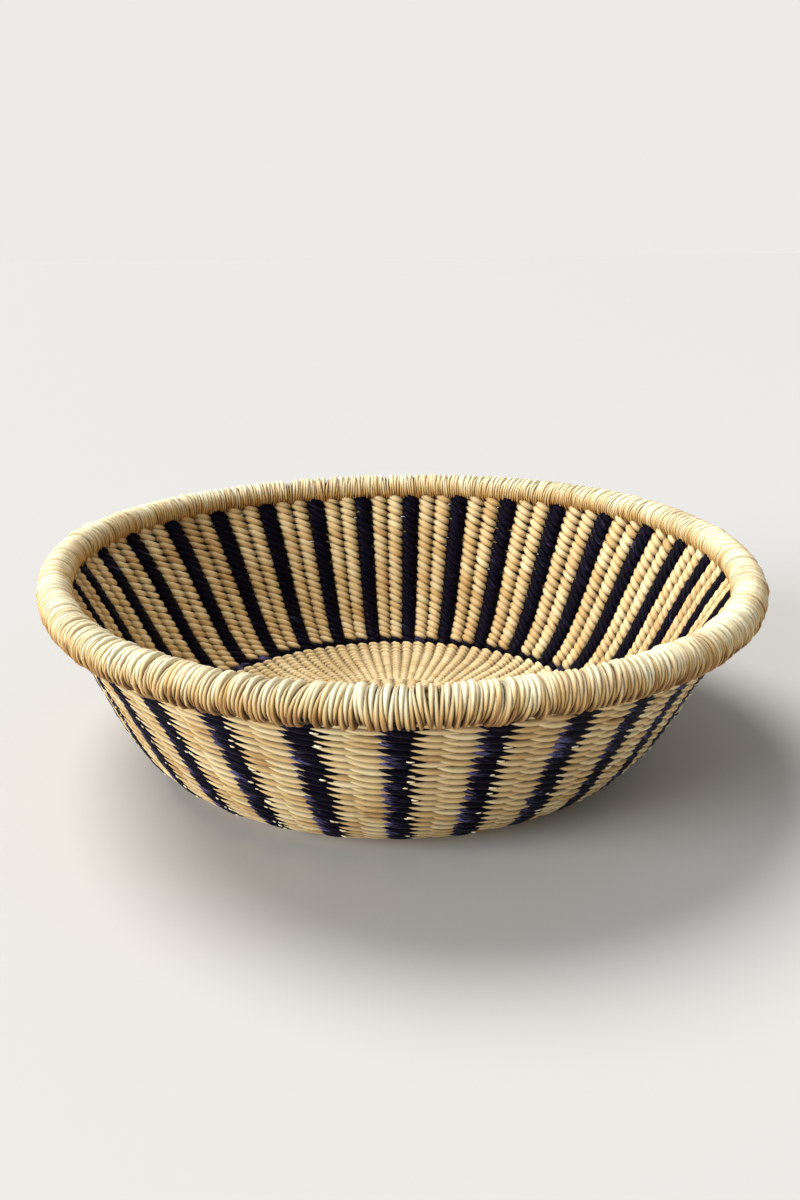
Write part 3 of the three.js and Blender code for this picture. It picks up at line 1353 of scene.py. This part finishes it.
@dataclass(frozen=True)
class Wrap:
    """The long strand that wraps the rim, turn after turn, uneven as it is by hand.

    Attributes:
        section: The tray's section.
        turns: Turns of the strand.
        strand: Half of its width.
        points: Points for each turn.
        facing: Angle round the rim about which a turn leans.
        level: Angle round the rim that is level outwards.
        change: Where in a turn its own values start to give way to the next one's, inside
            the rim, and in what share of a turn they do.
        bow: How far a turn stays behind on the outside of the rim.
        bow_change: How much that changes, as a share, and in how many turns.
        lean: How far its top is ahead of that.
        crossings: Share of the turns that lie over the one before.
        crossing_step: Advance of such a turn against the others.
        crossing_rise: How far it stands out, and how much of that it loses under the rim.
        swaps: Share of the turns that lie high where the turn before lies low.
        high: How high or low a turn lies, at least and at most.
        high_rise: How far a high turn stands out.
        swing: How far the turns swing to and fro, in turns, and in how many turns.
        own_swing: How far each turn swings by itself.
        stray: How far the strand strays sideways and outwards.
        width_change: How much its width changes from turn to turn and within a turn.
        width: Its width midway, and what a high turn adds to it.
        low_loss: How much narrower it is under the rim.
        tone: Its lightness midway, and the painted light that the top of the rim adds to it.
        tone_change: How much the turns differ in lightness.
        tone_range: Least and greatest lightness.
        under_rim_shade: How much painted shade it takes under the rim, and the power with which
            that sets in.
        open_high: How much less painted shade a high turn takes.
        crease_shade: How much painted shade its sides take under the rim, and how much less of it
            on top of the rim.
        flatness: Its thickness over its width.
        folds: Depth of its folds, as a share of its width.
    """

    section: TraySection
    turns: int = 700
    strand: float = 0.00106
    points: int = 16
    facing: float = math.radians(48)
    level: float = math.radians(34.5)
    change: Span = (0.36, 0.28)
    bow: float = 0.0009
    bow_change: Span = (0.8, 25)
    lean: float = 0.0003
    crossings: float = 0.05
    crossing_step: float = 0.3
    crossing_rise: Span = (0.7 * MM, 0.8)
    swaps: float = 0.75
    high: Span = (0.6, 1.2)
    high_rise: float = 0.55 * MM
    swing: Span = (0.4, 6)
    own_swing: float = 0.22
    stray: Span = (0.06 * MM, 0.08 * MM)
    width_change: Span = (0.08, 0.05)
    width: Span = (0.84, 0.32)
    low_loss: float = 0.24
    tone: Span = (0.35, 0.66)
    tone_change: float = 0.14
    tone_range: Span = (0.04, 1.15)
    under_rim_shade: Span = (0.5, 1.5)
    open_high: float = 0.35
    crease_shade: Span = (0.96, 0.62)
    flatness: float = 1.0
    folds: float = 0.08

    def _held(self, values: np.ndarray, turn: np.ndarray) -> np.ndarray:
        """One value for each turn, that changes into the next on the inside of the rim.

        Args:
            values: A value for each turn and one more.
            turn: Turns so far. A whole number is square outwards.

        Returns:
            The value at each place.
        """
        whole = np.floor(turn).astype(int)
        begin, length = self.change
        share = np.clip((turn - whole - begin) / length, 0.0, 1.0)
        return values[whole] + (values[whole + 1] - values[whole]) * share

    def run(self) -> Run:
        """Winds the strand round the rim.

        Returns:
            The strand.
        """
        rng = np.random.default_rng(Seed.WRAP)
        turn = np.arange(self.turns * self.points) / self.points
        angle = 2 * math.pi * turn
        face, rise = angle - self.facing, np.sin(angle - self.level)
        low = np.clip(-rise, 0.0, 1.0)
        marks = np.arange(self.turns + 1) + 0.5
        count = len(marks)

        over = rng.random(count) < self.crossings
        starts = np.cumsum(np.where(over, self.crossing_step, 1.0))
        pitch = 2 * math.pi / (starts[-1] - starts[0])
        side = np.cumprod(np.where(rng.random(count) < self.swaps, -1.0, 1.0))
        upper = self._held(side * rng.uniform(*self.high, count), turn) * np.sin(face)

        swing = drift(rng, turn / self.swing[1], self.swing[0])
        swing += self._held(rng.normal(0.0, self.own_swing, count), turn)
        azimuth = pitch * (np.interp(turn, marks, starts) + swing * np.sin(face))
        bow = self.bow * (1 + drift(rng, turn / self.bow_change[1], self.bow_change[0]))
        shift = self.lean * np.sin(face) - bow * np.cos(face)
        shift += drift(rng, turn * 2, self.stray[0])
        azimuth += shift / self.section.rim_centre[0]

        from_turn = drift(rng, turn, self.width_change[0])
        inside_turn = drift(rng, turn * 3, self.width_change[1])
        thickness = self.strand * (1 + from_turn + inside_turn)
        thickness *= (self.width[0] + self.width[1] * upper) * (1 - self.low_loss * low)

        lay = self.section.rim_thickness / 2 - self.strand
        crossing_rise, crossing_loss = self.crossing_rise
        raised = self._held(over * crossing_rise, turn) * (1 - crossing_loss * low)
        out = lay + raised + self.high_rise * upper + drift(rng, turn * 2, self.stray[1])
        # Painted light: lighter on the top of the rim, darker under it.
        tone = self.tone[0] + self.tone[1] * rise
        tone += self._held(rng.normal(0.0, self.tone_change, count), turn)
        # Painted shade under the rim, less on high turns.
        depth = 1.0 - self.under_rim_shade[0] * low ** self.under_rim_shade[1] + self.open_high * upper
        return Run(
            path=self.section.on_rim(out, angle, azimuth),
            thickness=thickness,
            square=self.section.out_of_rim(angle, azimuth),
            tone=np.clip(tone, *self.tone_range),
            depth=np.clip(depth, 0.0, 1.0),
            # Painted shade at the sides of the turns, less on the top of the rim.
            crease_shade=self.crease_shade[0] - self.crease_shade[1] * np.clip(rise, 0.0, 1.0) ** 2,
        )


@dataclass(frozen=True)
class Curls:
    """Ends of the wrapping strand that stick out under the rim.

    A pair of values is the least and the greatest that is drawn.

    Attributes:
        section: The tray's section.
        count: How many there are.
        place: Where one stands in its own share of the rim.
        begin: Angle round the rim where it comes out.
        turn: How far round the rim it runs, in radians.
        lay: Its distance from the rim's centre where it comes out.
        out: How far it stands out from there.
        arch: Part of a wave that its distance follows.
        side: How far its tip lies to one side.
        half_width: Half of its width.
        point: How much narrower its tip is, as a share.
        tone: Its lightness.
        points: Points along it.
    """

    section: TraySection
    count: int = 16
    place: Span = (0.1, 0.9)
    begin: float = math.radians(-48)
    turn: Span = (0.5, 0.9)
    lay: float = 6.2 * MM
    out: Span = (2.2 * MM, 3.4 * MM)
    arch: float = 0.6 * math.pi
    side: Span = (2.0 * MM, 4.5 * MM)
    half_width: Span = (0.7 * MM, 0.95 * MM)
    point: float = 0.55
    tone: Span = (0.4, 0.8)
    points: int = 9

    def runs(self) -> list[Run]:
        """Sets the ends round the rim.

        Returns:
            The ends.
        """
        rng = np.random.default_rng(Seed.CURLS)
        share = np.linspace(0.0, 1.0, self.points)
        runs = []
        for number in range(self.count):
            azimuth = (number + rng.uniform(*self.place)) * 2 * math.pi / self.count
            way = rng.choice((-1.0, 1.0))
            angle = self.begin - share * rng.uniform(*self.turn)
            out = self.lay + rng.uniform(*self.out) * np.sin(self.arch * share)
            side = way * rng.uniform(*self.side) * share**2
            turned = azimuth + side / self.section.radius
            runs.append(
                Run(
                    path=self.section.on_rim(out, angle, turned),
                    thickness=rng.uniform(*self.half_width) * (1 - self.point * share**2),
                    square=self.section.out_of_rim(angle, turned),
                    tone=np.full(self.points, rng.uniform(*self.tone)),
                    depth=np.ones(self.points),
                )
            )
        return runs


@dataclass(frozen=True)
class Bundle:
    """Grass stems that lie round the rim inside the wrap.

    Attributes:
        section: The tray's section.
        inner: Distance of the inner stems from the rim's centre.
        inner_count: How many of them there are.
        outer: Distance of the stems round them.
        outer_count: How many of these there are.
        outer_turn: Angle of the first of these.
        half_width: Half of a stem's width.
        tone: Least and greatest lightness of a stem.
        depth: How open they lie; below 1 the finish paints shade on them, where they show between
            the turns of the wrap.
        points: Points along a stem.
    """

    section: TraySection
    inner: float = 1.2 * MM
    inner_count: int = 2
    outer: float = 3.9 * MM
    outer_count: int = 8
    outer_turn: float = 0.3
    half_width: float = 1.8 * MM
    tone: Span = (0.3, 0.7)
    depth: float = 0.15
    points: int = 181

    def runs(self) -> list[Run]:
        """Lays the stems round the rim.

        Returns:
            The stems.
        """
        rng = np.random.default_rng(Seed.BUNDLE)
        azimuth = np.linspace(0.0, 2 * math.pi, self.points)
        inner, outer = 2 * math.pi / self.inner_count, 2 * math.pi / self.outer_count
        places = [(self.inner, i * inner) for i in range(self.inner_count)]
        places += [(self.outer, i * outer + self.outer_turn) for i in range(self.outer_count)]
        runs = []
        for distance, turn in places:
            out, angle = np.full(self.points, distance), np.full(self.points, turn)
            runs.append(
                Run(
                    path=self.section.on_rim(out, angle, azimuth),
                    thickness=np.full(self.points, self.half_width),
                    square=self.section.out_of_rim(angle, azimuth),
                    tone=np.full(self.points, rng.uniform(*self.tone)),
                    depth=np.full(self.points, self.depth),
                )
            )
        return runs


@dataclass(frozen=True)
class Rim:
    """The bundle of grass on the wall's edge and the long strand that wraps it.

    Attributes:
        section: The tray's section.
    """

    section: TraySection

    def build(self, materials: Materials) -> None:
        """Makes the wrap, its loose ends and the bundle.

        Args:
            materials: The material of each slot.
        """
        wrap = Wrap(self.section)
        run = wrap.run()
        piece = SweptPiece("wrap_strand", [run], WRAP, Sides.EIGHT, wrap.flatness, wrap.folds)
        piece.build(materials, ["rim_wrap"])
        curls = Curls(self.section).runs()
        SweptPiece("strand_curls", curls, WRAP).build(materials, ["rim_wrap"])
        bundle = Bundle(self.section).runs()
        SweptPiece("rim_bundle", bundle, STAKE).build(materials, ["rim_core"])


@dataclass(frozen=True)
class Lamp:
    """A far lamp that lights floor and tray evenly.

    Attributes:
        name: Its name.
        place: The side that it shines from.
        softness: How wide it looks from the tray, in degrees.
        power: Its power on a surface that faces it, in watts for a square metre.
        colour: Its colour.
        aim: The place that it shines at.
    """

    name: str
    place: Triple
    softness: float
    power: float
    colour: Triple
    aim: Triple = (0.0, 0.0, 0.05)

    def build(self) -> None:
        """Makes the lamp."""
        data = bpy.data.lights.new(self.name, "SUN")
        data.angle = math.radians(self.softness)
        data.energy = self.power
        data.color = self.colour
        lamp = bpy.data.objects.new(self.name, data)
        lamp.location = self.place
        way = Vector(self.aim) - Vector(self.place)
        lamp.rotation_euler = way.to_track_quat("-Z", "Y").to_euler()
        bpy.context.scene.collection.objects.link(lamp)


WINDOW = Lamp(
    "window",
    place=(-0.75, 0.5, 1.85),
    softness=34.0,
    power=2.7,
    colour=(1.0, 0.98, 0.94),
)
SIDE_WINDOW = Lamp(
    "side_window",
    place=(-1.5, -0.82, 0.62),
    softness=30.0,
    power=2.95,
    colour=(0.94, 0.97, 1.0),
)


@dataclass(frozen=True)
class Studio:
    """Floor, light and camera.

    Attributes:
        camera_place: Where the camera stands.
        pitch: How far it looks down, in radians.
        yaw: How far it looks to the right.
        roll: How far it leans.
        focal_pixels: Its focal length, in pixels of the frame.
        frame_height: Height of the frame, in pixels.
        sensor: Longer side of the sensor, in millimetres.
        clip: Nearest and farthest distance that it sees.
        lamps: The lamps.
        sky: Strength of the light from all round.
        backdrop: Colour that shows behind the floor.
        floor: Colour of the floor.
        floor_roughness: Its roughness.
        floor_reach: Half of its width.
    """

    camera_place: Triple = (0.00224, -0.50781, 0.23865)
    pitch: float = 0.3209
    yaw: float = 0.0004
    roll: float = 0.0119
    focal_pixels: float = 1121.9
    frame_height: int = 1200
    sensor: float = 36.0
    clip: Span = (0.01, 50.0)
    lamps: tuple[Lamp, ...] = (WINDOW, SIDE_WINDOW)
    sky: float = 0.34
    backdrop: Triple = (0.841, 0.829, 0.796)
    floor: Triple = (0.61, 0.602, 0.587)
    floor_roughness: float = 0.8
    floor_reach: float = 9.0

    def build(self) -> None:
        """Makes the floor, the lamps and the camera."""
        self._camera()
        self._floor()
        for lamp in self.lamps:
            lamp.build()
        self._world()
        bpy.context.scene.view_settings.view_transform = "Standard"

    def _world(self) -> None:
        """Makes soft light from all round, and a pale background behind the floor."""
        world = bpy.data.worlds.new("studio")
        world.use_nodes = True
        tree = world.node_tree
        light = tree.nodes["Background"]
        light.inputs["Color"].default_value = (1.0, 1.0, 1.0, 1.0)
        light.inputs["Strength"].default_value = self.sky
        seen = tree.nodes.new("ShaderNodeBackground")
        seen.inputs["Color"].default_value = (*self.backdrop, 1.0)
        rays = tree.nodes.new("ShaderNodeLightPath")
        chosen = tree.nodes.new("ShaderNodeMixShader")
        tree.links.new(rays.outputs["Is Camera Ray"], chosen.inputs["Fac"])
        tree.links.new(light.outputs["Background"], chosen.inputs[1])
        tree.links.new(seen.outputs["Background"], chosen.inputs[2])
        tree.links.new(chosen.outputs["Shader"], tree.nodes["World Output"].inputs["Surface"])
        bpy.context.scene.world = world

    def _camera(self) -> None:
        """Sets the camera at the photograph's viewing angle."""
        up = Vector((0.0, 0.0, 1.0))
        right = Vector((math.cos(self.yaw), -math.sin(self.yaw), 0.0))
        level = Vector((math.sin(self.yaw), math.cos(self.yaw), 0.0))
        forward = level * math.cos(self.pitch) - up * math.sin(self.pitch)
        above = level * math.sin(self.pitch) + up * math.cos(self.pitch)
        side = right * math.cos(self.roll) - above * math.sin(self.roll)
        top = right * math.sin(self.roll) + above * math.cos(self.roll)
        data = bpy.data.cameras.new("camera")
        data.sensor_width = self.sensor
        data.lens = self.focal_pixels / self.frame_height * self.sensor
        data.clip_start, data.clip_end = self.clip
        camera = bpy.data.objects.new("camera", data)
        turn = Matrix((side, top, -forward)).transposed().to_4x4()
        camera.matrix_world = Matrix.Translation(self.camera_place) @ turn
        bpy.context.scene.collection.objects.link(camera)
        bpy.context.scene.camera = camera

    def _floor(self) -> None:
        """Makes the pale floor."""
        shape = bmesh.new()
        bmesh.ops.create_grid(shape, x_segments=1, y_segments=1, size=self.floor_reach)
        mesh = bpy.data.meshes.new("floor")
        shape.to_mesh(mesh)
        shape.free()
        material = bpy.data.materials.new("pale_floor")
        material.use_nodes = True
        shader = material.node_tree.nodes["Principled BSDF"]
        shader.inputs["Base Color"].default_value = (*self.floor, 1.0)
        shader.inputs["Roughness"].default_value = self.floor_roughness
        mesh.materials.append(material)
        floor = bpy.data.objects.new("floor", mesh)
        bpy.context.scene.collection.objects.link(floor)


def main() -> None:
    """Builds the tray, piece by piece, and the studio."""
    logging.basicConfig(level=logging.INFO, format="%(name)s: %(message)s")
    section = TraySection()
    materials = {finish.slot: finish.material() for finish in (NATURAL, WRAP, DYED, STAKE)}
    for part in (BaseWeave, Stakes, WallWeave, Rim):
        part(section).build(materials)
    Studio().build()


if __name__ == "__main__":
    main()
